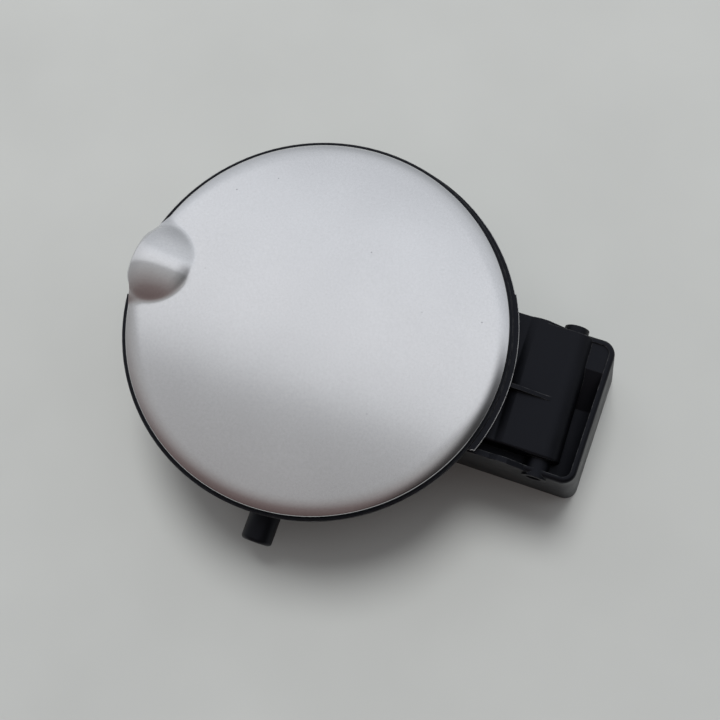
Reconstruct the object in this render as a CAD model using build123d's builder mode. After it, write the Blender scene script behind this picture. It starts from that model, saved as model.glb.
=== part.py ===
"""Car fuel door: painted round flap on a swan-neck hinge in a moulded bowl with hinge box and drain.

Millimetres. Z is up out of the flap, X points to the hinge, the origin is the mouth of the neck seal.
"""

import os
from math import cos, pi, radians, sin, sqrt

from build123d import *

# Flap skin, a pressed sheet
FLAP_DIAMETER = 160.0
SHEET = 1.0
LIP_HEIGHT = 5.0
EDGE_RADIUS = 2.0
CROWN = 2.6
HEM_WIDTH = 3.5

# Finger bulge of the skin
BULGE_INSET = 7.5
BULGE_CAP_RADIUS = 25.9
BULGE_BLEND = 5.0
BULGE_STEEP = radians(36)
BULGE_SHALLOW = radians(10)
BULGE_OVERHANG = 2.5
BULGE_LIP = 2.4
MOUTH_WIDTH = 25.0

# Bowl and rim
RIM_TOP = 50.0
BEAD_WIDTH = 1.5
RIM_HEIGHT = 3.5
RIM_SHELF = 2.6
RIM_LEDGE = 1.4
BEAD_HEIGHT = 1.8
BEAD_EDGE = 0.4
MOUTH_INSET = 5.5
RIM_OVERHANG = 2.4
BOWL_TAPER = 16.0
BOWL_FILLET = 4.0
WALL = 2.4
FLOOR_LIFT = 4.0
FLOOR = 2.5
NECK_HOLE_RADIUS = 36.0
FLOOR_RIBS = 10
LIP_EDGE = 2.4
LIP_THICKNESS = 1.6
LIP_STEP = 0.7
LIP_ARC = (-21.4, 26.0)
CRESCENT_EDGE = 2.0
CRESCENT_MIDDLE = 12.0
CRESCENT_HALF_ARC = 62.0
SNAP_ANGLES = (45.0, 135.0, 225.0, 315.0)
SNAP_WIDTH = 11.0
SNAP_FOOT = 12.5
SNAP_TOP = 3.0
SNAP_DEPTH = 1.5

# Drain nipple
NIPPLE_X = 2.4
NIPPLE_Z = 19.0
NIPPLE_REACH = 11.9
NIPPLE_DIAMETER = 13.8
NIPPLE_BORE = 9.6
NIPPLE_EDGE = 1.7
HOSE_LENGTH = 19.3
HOSE_STOP_DIAMETER = 16.8

# Hinge box, hood and pivot
HINGE_REACH = 23.0
HINGE_DROP = 12.0
BOX_HALF_WIDTH = 31.0
BOX_FLARE_NEAR = 0.3
BOX_FLARE_FAR = 2.1
BOX_FAR_EXTRA = 0.9
BOX_END = 15.1
BOX_END_FLARE = 8.9
BOX_END_SKEW = 2.2
BOX_RISE = 5.0
BOX_CORNER = 6.0
BOX_EDGE = 1.7
SHOULDER_START = 12.9
SHOULDER_END = 5.4
WEB_Y = 18.0
WEB_RUN = 16.0
WEB_STEP = 0.6
LEDGE_DROP = 3.6
HOOD_RADIUS = 8.3
HOOD = 1.8
HOOD_STEP_REACH = 4.6
HOOD_STEP_WIDTH = 3.6
HOOD_STEP = 1.4
HOOD_STEP_FILLET = 2.0
HOOD_EDGE = 1.2
HOOD_GROOVE = 4.6
RIB_THICKNESS = 1.8
RIB_RISE = 2.6
RIB_STOP = 1.9
BOSS_DIAMETER = 10.4
BOSS_REACH = 3.6
PIN_DIAMETER = 4.0

# Swan-neck arm
BARREL_RADIUS = 6.0
KNUCKLE_INNER = 9.5
NECK_RADIUS = 30.3
ARM_THICKNESS = 3.0
ARM_HALF_WIDTH = 13.0
NECK_LEFT = -2.5
ARM_WAY_GAP = 2.9
FOOT_TAIL = 10.0
SCREW_INSET = 30.0
SCREW_SPACING = 16.0
SCREW_DIAMETER = 3.6
SCREW_HEAD = 7.0
SCREW_HEAD_HEIGHT = 2.2
SCREW_GRIP = 5.5
SCREW_SLOT = 0.9
SCREW_SLOT_DEPTH = 1.2
SPRING_WINDOW = 22.0

# Inner carrier of the flap
CARRIER_PLATE = 2.0
RING_INSET = 10.0
HUB_R = 20.0
RIB_DROP = 3.0
CARRIER_RIBS = 8
SCREW_BOSS_RADIUS = 4.0
SCREW_TIP_WALL = 0.6
STRAP_HOOK_DROP = 12.0
STRAP_HOOK_REACH = 7.0
STRAP_HOOK_TIP = 3.5
STRAP_HOOK_WALL = 2.0
STRAP_HOOK_X = -2.0
STRAP_HOOK_HALF_WIDTH = 8.0

# Spring, seal, buffers
WIRE = 1.4
COIL_RADIUS = 3.3
COIL_TURNS = 5
NECK_LEG = 19.0
HOOD_LEG = 14.0
SEAL_BORE_RADIUS = 29.5
SEAL_WALL = 2.5
SEAL_TOP = 11.0
SEAL_FLANGE = 2.0
BUFFER_DIAMETER = 5.0
BUFFER_PEG = 2.4
BUFFER_ANGLES = (60.0, 120.0, 240.0, 300.0)

# Clearances
FLAP_GAP = 2.0
BEAD_GAP = 0.9
BUFFER_GAP = 0.25
SEAT_GAP = 0.05
RUN_GAP = 0.05
SIDE_GAP = 0.4
SLOT_GAP = 2.0

# Derived sizes
FLAP_R = FLAP_DIAMETER / 2
BULGE_X = BULGE_INSET - FLAP_R
HEM_Z = RIM_TOP + FLAP_GAP
EDGE_Z = HEM_Z + LIP_HEIGHT
CROWN_Z = EDGE_Z + CROWN
DOME_RADIUS = (FLAP_R**2 + CROWN**2) / (2 * CROWN)
RIM_R = FLAP_R + BEAD_GAP + BEAD_WIDTH
LIP_TOP = RIM_TOP + BEAD_HEIGHT - LIP_STEP
CRESCENT_SHIFT = CRESCENT_EDGE * (CRESCENT_EDGE + 2 * RIM_R) / (
    2 * (RIM_R + CRESCENT_EDGE - RIM_R * cos(radians(CRESCENT_HALF_ARC)))
)
CRESCENT_R = RIM_R + CRESCENT_EDGE - CRESCENT_SHIFT
MOUTH_R = FLAP_R - MOUTH_INSET
BOWL_TOP_RADIUS = RIM_R - RIM_OVERHANG
BOWL_FOOT_RADIUS = BOWL_TOP_RADIUS - BOWL_TAPER
RIM_FOOT = RIM_TOP - RIM_HEIGHT
BEAD_TOP = RIM_TOP + BEAD_HEIGHT
BEAD_R = FLAP_R + BEAD_GAP
FLOOR_TOP = FLOOR_LIFT + FLOOR
CARRIER_Z = HEM_Z + SHEET + SEAT_GAP
FOOT_Z = CARRIER_Z - ARM_THICKNESS
NIPPLE_END = RIM_R + NIPPLE_REACH
HOSE_STOP = NIPPLE_END - HOSE_LENGTH
HINGE_X = RIM_R + HINGE_REACH
HINGE_Z = RIM_TOP - HINGE_DROP
HOOD_TOP = HINGE_Z + HOOD_RADIUS
HOOD_UNDER = HOOD_TOP - HOOD
HOOD_INNER = HOOD_RADIUS - HOOD
HOOD_DROP = radians(-35)
HOOD_STEP_X = RIM_R + HOOD_STEP_REACH
BOX_END_TOP = HINGE_X + BOX_END
BOX_END_FOOT = BOX_END_TOP + BOX_END_FLARE
BOX_TOP = HINGE_Z + BOX_RISE
BOX_FAR_TOP = BOX_HALF_WIDTH + BOX_FAR_EXTRA
BOX_FAR_FOOT = BOX_FAR_TOP + BOX_FLARE_FAR
BOX_START = sqrt(BOWL_FOOT_RADIUS**2 - BOX_FAR_FOOT**2) - WALL / 2
BOX_INNER = BOX_HALF_WIDTH - WALL
HOOD_NEAR_EDGE = HOOD_GROOVE - BOX_INNER
LEDGE_TOP = HINGE_Z - LEDGE_DROP
LEDGE_UNDER = LEDGE_TOP - WALL
ARM_WAY_END = HINGE_X - NECK_RADIUS + ARM_WAY_GAP
SCREW_X = FLAP_R - SCREW_INSET
FOOT_END_X = SCREW_X - FOOT_TAIL
BOSS_INNER = -HOOD_NEAR_EDGE - HOOD
KNUCKLE_OUTER = BOSS_INNER - SIDE_GAP
SLOT_HALF = ARM_HALF_WIDTH + SLOT_GAP
PIN_R = PIN_DIAMETER / 2


def dome_z(radius, drop=0.0):
    """Height of the skin's crown at a radius, lowered by drop."""
    return CROWN_Z - DOME_RADIUS + sqrt((DOME_RADIUS - drop) ** 2 - radius**2)


def polar(radius, angle):
    """Point on a circle in plan."""
    return (radius * cos(radians(angle)), radius * sin(radians(angle)))


def bowl_radius(height):
    """Outer radius of the bowl wall at a height."""
    return BOWL_FOOT_RADIUS + (BOWL_TOP_RADIUS - BOWL_FOOT_RADIUS) * height / RIM_FOOT


def flap_body(radius, bottom, drop, edge):
    """Solid under the crown: a disc with a domed top and a rounded edge."""
    with BuildPart() as body:
        with BuildSketch(Plane.XZ):
            with BuildLine():
                Polyline((0, CROWN_Z - drop), (0, bottom), (radius, bottom), (radius, dome_z(radius, drop)))
                ThreePointArc(
                    (radius, dome_z(radius, drop)),
                    (radius / 2, dome_z(radius / 2, drop)),
                    (0, CROWN_Z - drop),
                )
            face = make_face()
            fillet(face.vertices().group_by(Axis.X)[-1].sort_by(Axis.Y)[-1], edge)
        revolve(axis=Axis.Z)
    return body.part


def bulge_body(drop, bottom, reach, edge):
    """Solid of the finger bulge: a cap with a hollow blend round its foot, cut off by the lip circle."""
    cap = BULGE_CAP_RADIUS - drop
    blend = BULGE_BLEND + drop
    top = dome_z(abs(BULGE_X)) + BULGE_HEIGHT - drop
    steep = (cap * sin(BULGE_STEEP), top - cap * (1 - cos(BULGE_STEEP)))
    half = (cap * sin(BULGE_STEEP / 2), top - cap * (1 - cos(BULGE_STEEP / 2)))
    centre = (steep[0] + blend * sin(BULGE_STEEP), steep[1] + blend * cos(BULGE_STEEP))
    mid_angle = (BULGE_STEEP + BULGE_SHALLOW) / 2
    middle = (centre[0] - blend * sin(mid_angle), centre[1] - blend * cos(mid_angle))
    foot = (centre[0] - blend * sin(BULGE_SHALLOW), centre[1] - blend * cos(BULGE_SHALLOW))
    with BuildPart() as body:
        with BuildSketch(Plane.XZ):
            with BuildLine():
                ThreePointArc((0, top), half, steep)
                ThreePointArc(steep, middle, foot)
                Polyline(foot, (foot[0], bottom), (0, bottom), (0, top))
            make_face()
        revolve(axis=Axis.Z)
    with BuildPart() as cut:
        add(Pos(BULGE_X, 0, 0) * body.part)
        with Locations((0, 0, bottom)):
            Cylinder(reach, 40, align=(Align.CENTER, Align.CENTER, Align.MIN), mode=Mode.INTERSECT)
        if edge:
            rim = cut.faces().filter_by(GeomType.CYLINDER).sort_by(Axis.X)[0]
            fillet(rim.edges().sort_by(Axis.Z)[-1], edge)
    return cut.part


BULGE_HEIGHT = BULGE_CAP_RADIUS * (1 - cos(BULGE_STEEP)) + BULGE_BLEND * (
    cos(BULGE_SHALLOW) - cos(BULGE_STEEP)
)
BULGE_RADIUS = BULGE_CAP_RADIUS * sin(BULGE_STEEP) + BULGE_BLEND * (sin(BULGE_STEEP) - sin(BULGE_SHALLOW))
BULGE_R = FLAP_R + BULGE_OVERHANG
BULGE_TOP_AT_LIP = dome_z(abs(BULGE_X)) + BULGE_HEIGHT - BULGE_CAP_RADIUS + sqrt(
    BULGE_CAP_RADIUS**2 - (BULGE_R + BULGE_X) ** 2
)

# Painted skin: domed sheet, rolled edge, hem turned in under the carrier, hollow finger bulge
with BuildPart() as flap_skin:
    add(flap_body(FLAP_R, HEM_Z, 0.0, EDGE_RADIUS))
    add(bulge_body(0.0, HEM_Z, BULGE_R, 0.0))
    add(flap_body(FLAP_R - SHEET, HEM_Z + SHEET, SHEET, EDGE_RADIUS - SHEET), mode=Mode.SUBTRACT)
    add(bulge_body(SHEET, HEM_Z - 1, BULGE_R - SHEET, 0.0), mode=Mode.SUBTRACT)
    with Locations((0, 0, HEM_Z + SHEET / 2)):
        Cylinder(FLAP_R - HEM_WIDTH, 2 * SHEET, mode=Mode.SUBTRACT)
    with Locations((-BULGE_R, 0, HEM_Z - 1)):
        Box(
            20,
            MOUTH_WIDTH,
            BULGE_TOP_AT_LIP - BULGE_LIP - HEM_Z + 1,
            align=(Align.CENTER, Align.CENTER, Align.MIN),
            mode=Mode.SUBTRACT,
        )
flap_skin.part.label = "flap_skin"

# Inner carrier: plate with ribs, held by the hem, with bosses for the arm screws and a cap hook
RING_R = FLAP_R - RING_INSET
STRAP_HOOK_Z = CARRIER_Z - STRAP_HOOK_DROP
STRAP_HOOK_END = STRAP_HOOK_X - STRAP_HOOK_REACH
with BuildPart() as flap_carrier:
    with BuildSketch(Plane.XY.offset(CARRIER_Z)):
        Circle(FLAP_R - SHEET - SIDE_GAP)
        with Locations((BULGE_X, 0)):
            Circle(BULGE_RADIUS + SIDE_GAP, mode=Mode.SUBTRACT)
    extrude(amount=CARRIER_PLATE)
    with BuildSketch(Plane.XY.offset(CARRIER_Z)):
        Circle(RING_R)
        Circle(RING_R - WALL, mode=Mode.SUBTRACT)
        Circle(HUB_R)
        Circle(HUB_R - WALL, mode=Mode.SUBTRACT)
        with PolarLocations((RING_R + HUB_R - WALL) / 2, CARRIER_RIBS, 180 / CARRIER_RIBS):
            Rectangle(RING_R - HUB_R, RIB_THICKNESS)
        with Locations((FOOT_END_X - 2 * SLOT_GAP, 0)):
            Rectangle(
                RING_R,
                2 * (ARM_HALF_WIDTH + SIDE_GAP),
                align=(Align.MIN, Align.CENTER),
                mode=Mode.SUBTRACT,
            )
        with Locations((BULGE_X, 0)):
            Circle(BULGE_RADIUS + SIDE_GAP, mode=Mode.SUBTRACT)
    extrude(amount=-RIB_DROP)
    with BuildSketch(Plane.XY.offset(CARRIER_Z + CARRIER_PLATE)):
        with Locations((SCREW_X, -SCREW_SPACING / 2), (SCREW_X, SCREW_SPACING / 2)):
            Circle(SCREW_BOSS_RADIUS)
    extrude(amount=dome_z(SCREW_X + SCREW_BOSS_RADIUS, SHEET) - CARRIER_Z - CARRIER_PLATE - SIDE_GAP)
    with BuildSketch(Plane.XY.offset(CARRIER_Z + CARRIER_PLATE)):
        Circle(RING_R)
        Circle(RING_R - WALL, mode=Mode.SUBTRACT)
        with Locations((BULGE_X, 0)):
            Circle(BULGE_RADIUS + SIDE_GAP, mode=Mode.SUBTRACT)
    extrude(amount=dome_z(RING_R, SHEET) - CARRIER_Z - CARRIER_PLATE - SIDE_GAP)
    with Locations((SCREW_X, -SCREW_SPACING / 2, CARRIER_Z), (SCREW_X, SCREW_SPACING / 2, CARRIER_Z)):
        Cylinder(
            SCREW_DIAMETER / 2 + SEAT_GAP,
            2 * (dome_z(SCREW_X + SCREW_BOSS_RADIUS, SHEET) - CARRIER_Z - 2 * SIDE_GAP - SCREW_TIP_WALL),
            mode=Mode.SUBTRACT,
        )
    # Hook that takes the cap's strap while fuelling
    with BuildSketch(Plane.XZ):
        with BuildLine():
            Polyline(
                (STRAP_HOOK_X, CARRIER_Z),
                (STRAP_HOOK_X, STRAP_HOOK_Z),
                (STRAP_HOOK_END, STRAP_HOOK_Z),
                (STRAP_HOOK_END, STRAP_HOOK_Z + STRAP_HOOK_TIP),
                (STRAP_HOOK_END + STRAP_HOOK_WALL, STRAP_HOOK_Z + STRAP_HOOK_TIP),
                (STRAP_HOOK_END + STRAP_HOOK_WALL, STRAP_HOOK_Z + STRAP_HOOK_WALL),
                (STRAP_HOOK_X - STRAP_HOOK_WALL, STRAP_HOOK_Z + STRAP_HOOK_WALL),
                (STRAP_HOOK_X - STRAP_HOOK_WALL, CARRIER_Z),
                close=True,
            )
        make_face()
    extrude(amount=STRAP_HOOK_HALF_WIDTH, both=True)
flap_carrier.part.label = "flap_carrier"

# Swan-neck arm: two knuckles on the pin, neck plate, bend round the rim, leg and foot under the carrier
OUTER_RADIUS = NECK_RADIUS + ARM_THICKNESS
with BuildPart() as hinge_arm:
    with BuildSketch(Plane.XZ):
        with BuildLine():
            Polyline(
                (HINGE_X + NECK_LEFT, HINGE_Z - 12),
                (HINGE_X + NECK_LEFT, HINGE_Z - sqrt(NECK_RADIUS**2 - NECK_LEFT**2)),
            )
            ThreePointArc(
                (HINGE_X + NECK_LEFT, HINGE_Z - sqrt(NECK_RADIUS**2 - NECK_LEFT**2)),
                (HINGE_X - NECK_RADIUS / sqrt(2), HINGE_Z - NECK_RADIUS / sqrt(2)),
                (HINGE_X - NECK_RADIUS, HINGE_Z),
            )
            Polyline(
                (HINGE_X - NECK_RADIUS, HINGE_Z),
                (HINGE_X - NECK_RADIUS, CARRIER_Z - 1.5),
                (HINGE_X - NECK_RADIUS - 1.5, CARRIER_Z),
                (FOOT_END_X, CARRIER_Z),
                (FOOT_END_X, FOOT_Z),
                (HINGE_X - OUTER_RADIUS, FOOT_Z),
                (HINGE_X - OUTER_RADIUS, HINGE_Z),
            )
            ThreePointArc(
                (HINGE_X - OUTER_RADIUS, HINGE_Z),
                (HINGE_X - OUTER_RADIUS / sqrt(2), HINGE_Z - OUTER_RADIUS / sqrt(2)),
                (HINGE_X - 2, HINGE_Z - sqrt(OUTER_RADIUS**2 - 4)),
            )
            Polyline(
                (HINGE_X - 2, HINGE_Z - sqrt(OUTER_RADIUS**2 - 4)),
                (HINGE_X + NECK_LEFT + ARM_THICKNESS, HINGE_Z - OUTER_RADIUS + 3),
                (HINGE_X + NECK_LEFT + ARM_THICKNESS, HINGE_Z - 12),
                (HINGE_X + NECK_LEFT, HINGE_Z - 12),
            )
        make_face()
    extrude(amount=ARM_HALF_WIDTH, both=True)
    # Neck plate, wide at the knuckles
    with BuildSketch(Plane.YZ.offset(HINGE_X + NECK_LEFT)):
        with BuildLine():
            Polyline(
                (-KNUCKLE_OUTER, HINGE_Z),
                (KNUCKLE_OUTER, HINGE_Z),
                (KNUCKLE_OUTER, HINGE_Z - 10),
                (ARM_HALF_WIDTH, HINGE_Z - 23),
                (ARM_HALF_WIDTH, HINGE_Z - 26),
                (-ARM_HALF_WIDTH, HINGE_Z - 26),
                (-ARM_HALF_WIDTH, HINGE_Z - 23),
                (-KNUCKLE_OUTER, HINGE_Z - 10),
                close=True,
            )
        make_face()
    extrude(amount=ARM_THICKNESS)
    with BuildSketch(Plane.XZ):
        with Locations((HINGE_X, HINGE_Z)):
            Circle(BARREL_RADIUS)
    extrude(amount=KNUCKLE_OUTER, both=True)
    # Gussets behind the neck and under the foot
    for side in (-1, 1):
        with BuildSketch(Plane.XZ.offset(side * (ARM_HALF_WIDTH - 2))):
            with BuildLine():
                Polyline(
                    (HINGE_X, HINGE_Z - 4),
                    (HINGE_X + 4.5, HINGE_Z - 4),
                    (HINGE_X, HINGE_Z - 26),
                    close=True,
                )
            make_face()
            with BuildLine():
                Polyline(
                    (HINGE_X - OUTER_RADIUS + 1, FOOT_Z + 1),
                    (HINGE_X - OUTER_RADIUS + 1, FOOT_Z - 11),
                    (HINGE_X - OUTER_RADIUS - 13, FOOT_Z + 1),
                    close=True,
                )
            make_face()
        extrude(amount=1.2, both=True)
    # Window for the spring between the knuckles
    with Locations((HINGE_X, 0, HINGE_Z)):
        Box(4 * BARREL_RADIUS, 2 * KNUCKLE_INNER, SPRING_WINDOW, mode=Mode.SUBTRACT)
    with Locations(Location((HINGE_X, 0, HINGE_Z), (90, 0, 0))):
        Cylinder(PIN_R + RUN_GAP, 2 * BOX_HALF_WIDTH, mode=Mode.SUBTRACT)
    with Locations((SCREW_X, -SCREW_SPACING / 2, FOOT_Z), (SCREW_X, SCREW_SPACING / 2, FOOT_Z)):
        Cylinder(SCREW_DIAMETER / 2 + SEAT_GAP, 4 * ARM_THICKNESS, mode=Mode.SUBTRACT)
hinge_arm.part.label = "hinge_arm"

# Screws of the arm foot, heads below
with BuildPart() as arm_screws:
    with Locations((SCREW_X, -SCREW_SPACING / 2, FOOT_Z), (SCREW_X, SCREW_SPACING / 2, FOOT_Z)):
        Cylinder(SCREW_HEAD / 2, SCREW_HEAD_HEIGHT, align=(Align.CENTER, Align.CENTER, Align.MAX))
        Cylinder(SCREW_DIAMETER / 2, SCREW_GRIP, align=(Align.CENTER, Align.CENTER, Align.MIN))
    fillet(arm_screws.edges().group_by(Axis.Z)[0], SCREW_SLOT)
    with Locations(
        (SCREW_X, -SCREW_SPACING / 2, FOOT_Z - SCREW_HEAD_HEIGHT),
        (SCREW_X, SCREW_SPACING / 2, FOOT_Z - SCREW_HEAD_HEIGHT),
    ):
        Box(SCREW_DIAMETER, SCREW_SLOT, 2 * SCREW_SLOT_DEPTH, mode=Mode.SUBTRACT)
        Box(SCREW_SLOT, SCREW_DIAMETER, 2 * SCREW_SLOT_DEPTH, mode=Mode.SUBTRACT)
arm_screws.part.label = "arm_screws"

# Hinge pin, pushed in from the near side wall
PIN_START = -BOX_HALF_WIDTH + 0.5
PIN_LENGTH = 2 * BOX_HALF_WIDTH + 1.0
with BuildPart() as hinge_pin:
    with Locations(Location((HINGE_X, PIN_START, HINGE_Z), (-90, 0, 0))):
        Cylinder(PIN_R, PIN_LENGTH, align=(Align.CENTER, Align.CENTER, Align.MIN))
    chamfer(hinge_pin.edges().filter_by(GeomType.CIRCLE), 0.5)
hinge_pin.part.label = "hinge_pin"

# Leg spring round the pin: one leg on the neck plate, the other under the hood
COIL_PITCH = WIRE + 0.15
COIL_END = radians(307)
COIL_HEIGHT = COIL_PITCH * (COIL_TURNS - 1 + COIL_END / (2 * pi))
COIL_RISE = COIL_PITCH / (2 * pi * COIL_RADIUS)
COIL_START = -COIL_HEIGHT / 2
with BuildPart() as wire_form:
    with BuildLine() as coil:
        leg = Line((COIL_RADIUS, -NECK_LEG, -NECK_LEG * COIL_RISE), (COIL_RADIUS, 0, 0))
        Helix(COIL_PITCH, COIL_HEIGHT, COIL_RADIUS)
        end_x = COIL_RADIUS * cos(COIL_END)
        end_y = COIL_RADIUS * sin(COIL_END)
        Line(
            (end_x, end_y, COIL_HEIGHT),
            (
                end_x - HOOD_LEG * sin(COIL_END),
                end_y + HOOD_LEG * cos(COIL_END),
                COIL_HEIGHT + HOOD_LEG * COIL_RISE,
            ),
        )
    with BuildSketch(Plane(leg @ 0, z_dir=leg % 0)):
        Circle(WIRE / 2)
    sweep(path=coil.wire())
with BuildPart() as hinge_spring:
    add(Plane((HINGE_X, COIL_START, HINGE_Z), (-1, 0, 0), (0, 1, 0)).location * wire_form.part)
hinge_spring.part.label = "hinge_spring"

# Rubber seal clipped into the floor hole; the filler neck enters its sleeve from below
SLEEVE_R = SEAL_BORE_RADIUS + SEAL_WALL
with BuildPart() as neck_seal:
    with BuildSketch(Plane.XZ):
        with BuildLine():
            Polyline(
                (SEAL_BORE_RADIUS, 0),
                (SEAL_BORE_RADIUS, SEAL_TOP),
                (SLEEVE_R, SEAL_TOP),
                (SLEEVE_R, FLOOR_TOP + SEAL_FLANGE),
                (NECK_HOLE_RADIUS + 5, FLOOR_TOP + SEAL_FLANGE - 0.6),
                (NECK_HOLE_RADIUS + 5, FLOOR_TOP + SEAT_GAP),
                (NECK_HOLE_RADIUS - SEAT_GAP, FLOOR_TOP + SEAT_GAP),
                (NECK_HOLE_RADIUS - SEAT_GAP, FLOOR_LIFT - SEAT_GAP),
                (NECK_HOLE_RADIUS + 3, FLOOR_LIFT - SEAT_GAP),
                (NECK_HOLE_RADIUS + 3, FLOOR_LIFT - SEAL_FLANGE + 0.6),
                (SLEEVE_R, FLOOR_LIFT - SEAL_FLANGE),
                (SLEEVE_R, 0),
                close=True,
            )
        make_face()
    revolve(axis=Axis.Z)
neck_seal.part.label = "neck_seal"

# Rubber buffers pegged into the rim
BUFFER_R = FLAP_R - HEM_WIDTH / 2
BUFFER_PEG_DEPTH = 2.0
buffers = []
for index, angle in enumerate(BUFFER_ANGLES):
    with BuildPart(Plane((*polar(BUFFER_R, angle), RIM_TOP))) as buffer:
        Cylinder(
            BUFFER_DIAMETER / 2,
            FLAP_GAP - BUFFER_GAP - SEAT_GAP,
            align=(Align.CENTER, Align.CENTER, Align.MIN),
        )
        fillet(buffer.edges().group_by(Axis.Z)[-1], 0.6)
        Cylinder(BUFFER_PEG / 2, BUFFER_PEG_DEPTH, align=(Align.CENTER, Align.CENTER, Align.MAX))
    buffer.part.label = f"flap_buffer_{index + 1}"
    buffers.append(buffer)


def box_plan(height, inset):
    """Plan of the hinge box at a height, drawn in from the outside by inset."""
    end = BOX_END_FOOT - (BOX_END_FOOT - BOX_END_TOP) * height / BOX_TOP - inset
    near = BOX_HALF_WIDTH + BOX_FLARE_NEAR * (1 - height / HOOD_TOP) - inset
    far = BOX_FAR_TOP + BOX_FLARE_FAR * (1 - height / HOOD_TOP) - inset
    with BuildSketch(Plane.XY.offset(height)) as plan:
        with BuildLine():
            Polyline(
                (BOX_START, -near),
                (end, -near),
                (end + BOX_END_SKEW, far),
                (BOX_START, far),
                close=True,
            )
        make_face()
        fillet(plan.vertices().sort_by(Axis.X)[-2:], BOX_CORNER - inset)
    return plan.sketch


def on_outside(edge):
    """Whether an edge of the box's top lies on its outer side, clear of the shoulder."""
    spot = edge.center()
    end = BOX_END_TOP + BOX_END_SKEW * (spot.Y + BOX_HALF_WIDTH) / (BOX_HALF_WIDTH + BOX_FAR_TOP)
    depth = max(spot.X - end, spot.Y - BOX_FAR_TOP, -spot.Y - BOX_HALF_WIDTH)
    return depth > -0.8 * WALL and spot.X > HINGE_X - SHOULDER_END + 1


# Hinge box, open below, flared towards the foot, top stepped down past the shoulder and rounded
with BuildPart() as box:
    loft([box_plan(0, 0), box_plan(HOOD_TOP, 0)])
    loft([box_plan(0, WALL), box_plan(HOOD_TOP, WALL)], mode=Mode.SUBTRACT)
    with BuildSketch(Plane.XZ):
        with BuildLine():
            Polyline(
                (BOX_START, HOOD_TOP - HOOD_STEP),
                (HOOD_STEP_X - HOOD_STEP_WIDTH / 2, HOOD_TOP - HOOD_STEP),
                (HOOD_STEP_X + HOOD_STEP_WIDTH / 2, HOOD_TOP),
                (HINGE_X - SHOULDER_START, HOOD_TOP),
                (HINGE_X - SHOULDER_END, BOX_TOP),
                (BOX_END_FOOT, BOX_TOP),
                (BOX_END_FOOT, HOOD_TOP + WALL),
                (BOX_START, HOOD_TOP + WALL),
                close=True,
            )
        make_face()
    extrude(amount=2 * BOX_HALF_WIDTH, both=True, mode=Mode.SUBTRACT)
    tops = box.faces().filter_by(lambda face: abs(face.center().Z - BOX_TOP) < 0.01)
    fillet(tops.edges().filter_by(on_outside), BOX_EDGE)

# Ledge that closes the box between hood and walls, with a web that runs up in the far corner
with BuildPart() as closure:
    with BuildSketch(Plane.YZ.offset(HINGE_X)):
        with BuildLine():
            Polyline(
                (-BOX_HALF_WIDTH, LEDGE_UNDER),
                (-BOX_HALF_WIDTH, LEDGE_TOP),
                (WEB_Y - WEB_RUN, LEDGE_TOP),
                (WEB_Y, BOX_TOP - WEB_STEP),
                (BOX_FAR_FOOT, BOX_TOP - WEB_STEP),
                (BOX_FAR_FOOT, LEDGE_UNDER),
                close=True,
            )
        make_face()
    extrude(amount=BOX_END + BOX_END_FLARE)
    with Locations(Location((HINGE_X, 0, HINGE_Z), (90, 0, 0))):
        Cylinder(HOOD_RADIUS - HOOD / 3, 4 * BOX_HALF_WIDTH, mode=Mode.SUBTRACT)
    with Locations((BOX_START, -BOX_HALF_WIDTH, LEDGE_TOP)):
        Box(
            HINGE_X + HOOD_RADIUS - BOX_START,
            BOX_HALF_WIDTH + HOOD_NEAR_EDGE + HOOD / 2,
            WALL,
            align=(Align.MIN, Align.MIN, Align.MAX),
        )

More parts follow.
